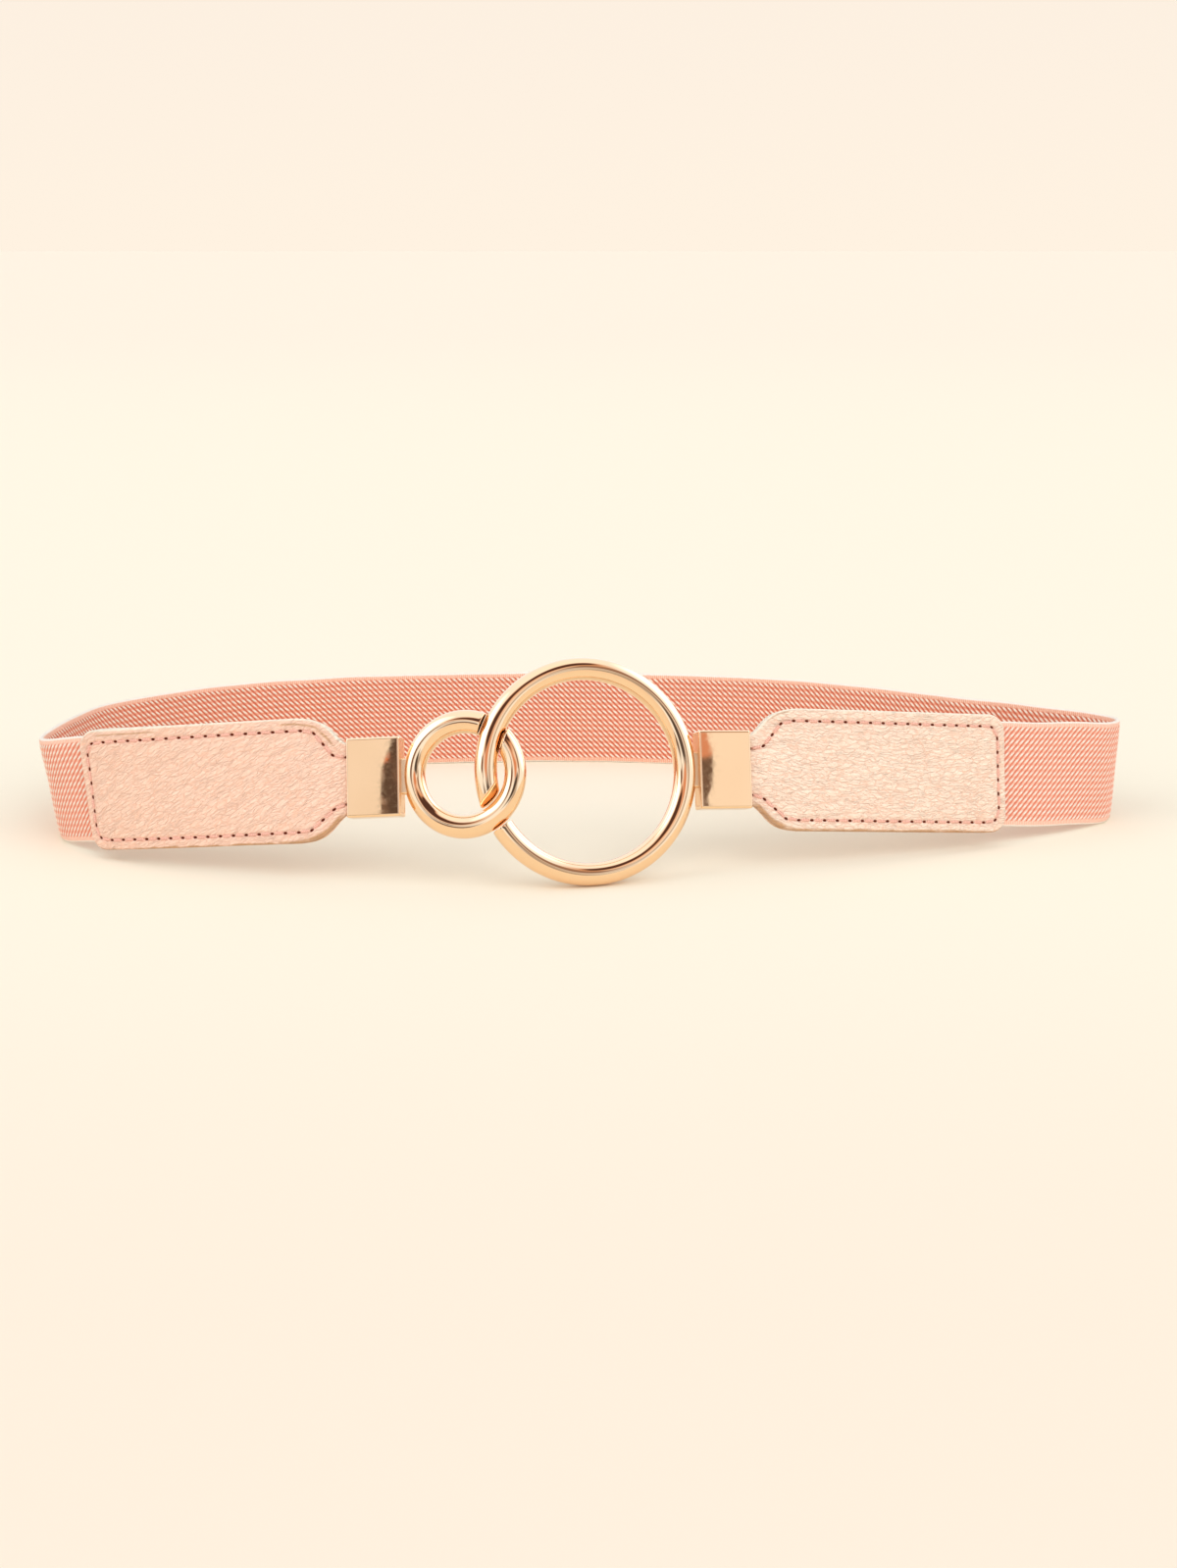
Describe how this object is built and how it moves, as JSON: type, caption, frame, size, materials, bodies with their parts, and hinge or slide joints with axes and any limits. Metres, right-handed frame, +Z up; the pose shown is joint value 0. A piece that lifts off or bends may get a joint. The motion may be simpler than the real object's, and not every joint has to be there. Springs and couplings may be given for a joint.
{
  "type": "elastic stretch belt",
  "caption": "Elastic waist belt closed in a loop, with stitched leather ends and a buckle of a small ring hooked through a larger one.",
  "frame": {"origin": "middle of the belt's base, where its lower edges rest on the surface", "axes": "+X from the small ring's side to the big ring's side, +Y from the buckle at the front to the back of the loop, +Z up across the webbing"},
  "size_m": [0.263, 0.135, 0.0491],
  "materials": {
    "elastic": "salmon twill elastic webbing with a paler selvedge",
    "leather": "pale pink fine-grained leather, satin",
    "gold_metal": "polished pale rose gold plating"
  },
  "bodies": {
    "root": {"elastic_band": "elastic", "left_tab_front": "leather", "left_tab_back": "leather", "right_tab_front": "leather", "right_tab_back": "leather", "left_sleeve": "gold_metal", "right_sleeve": "gold_metal", "small_ring": "gold_metal", "big_ring": "gold_metal"}
  },
  "joints": []
}
